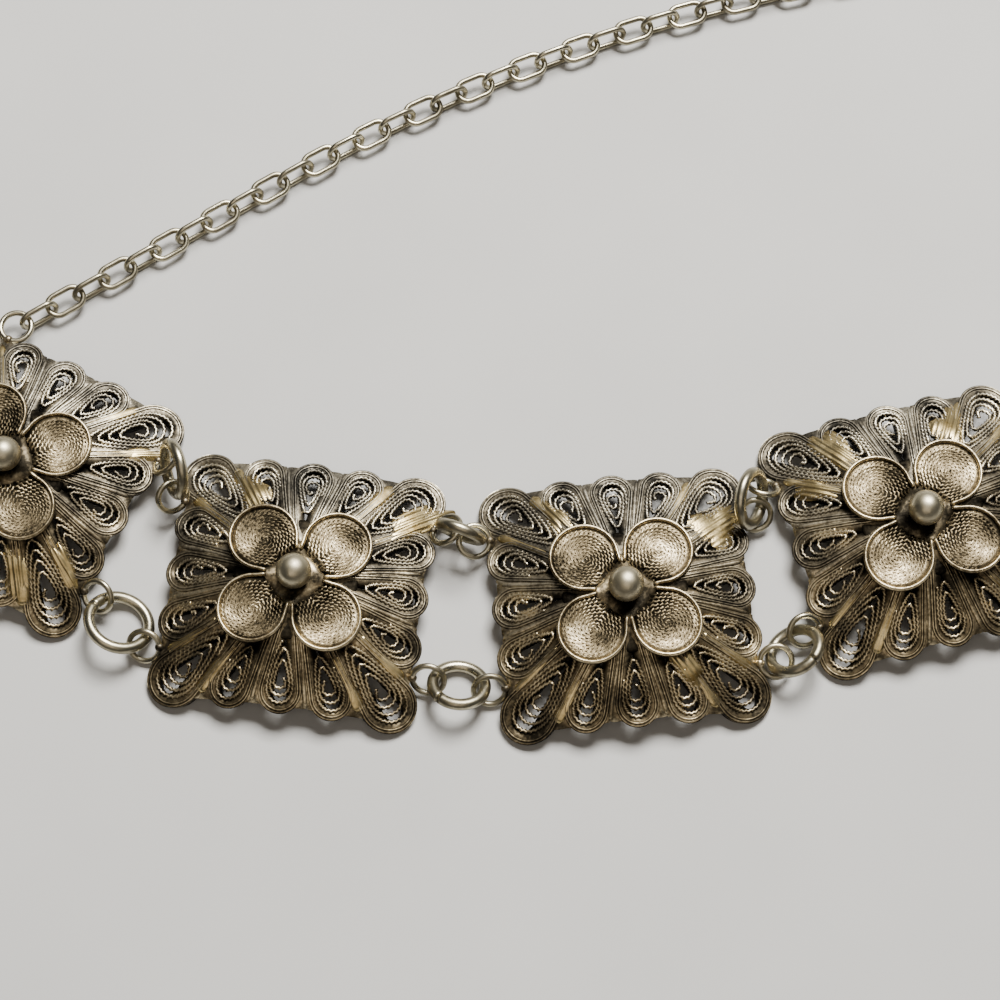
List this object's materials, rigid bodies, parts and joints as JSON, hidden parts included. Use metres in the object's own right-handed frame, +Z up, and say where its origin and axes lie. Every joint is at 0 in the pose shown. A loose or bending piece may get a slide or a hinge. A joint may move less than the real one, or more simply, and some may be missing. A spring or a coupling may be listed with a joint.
{
  "type": "panel bracelet",
  "caption": "Panel bracelet of domed silver filigree squares, each with a raised flower and bead, joined by paired jump rings, with a plain clasp and a safety chain.",
  "frame": {"origin": "middle of the box round the open bracelet, on the surface that it lies on", "axes": "+X from the first panel to the last, +Y from the row of panels to the safety chain, +Z up"},
  "size_m": [0.1712, 0.0588, 0.0068],
  "materials": {
    "panel_silver": "aged silver filigree, blackened in the recesses and worn bright on the ridges",
    "wire_silver": "plain round silver wire, smooth and dull with tarnish"
  },
  "bodies": {
    "root": {"panel_1": "panel_silver", "panel_2": "panel_silver", "panel_3": "panel_silver", "panel_4": "panel_silver", "panel_5": "panel_silver", "panel_6": "panel_silver", "panel_7": "panel_silver", "jump_upper_1": "wire_silver", "jump_upper_2": "wire_silver", "jump_upper_3": "wire_silver", "jump_upper_4": "wire_silver", "jump_upper_5": "wire_silver", "jump_upper_6": "wire_silver", "jump_lower_1": "wire_silver", "jump_lower_2": "wire_silver", "jump_lower_3": "wire_silver", "jump_lower_4": "wire_silver", "jump_lower_5": "wire_silver", "jump_lower_6": "wire_silver", "clasp": "wire_silver", "jump_clasp_upper": "wire_silver", "jump_clasp_lower": "wire_silver", "safety_chain": "wire_silver"}
  },
  "joints": []
}
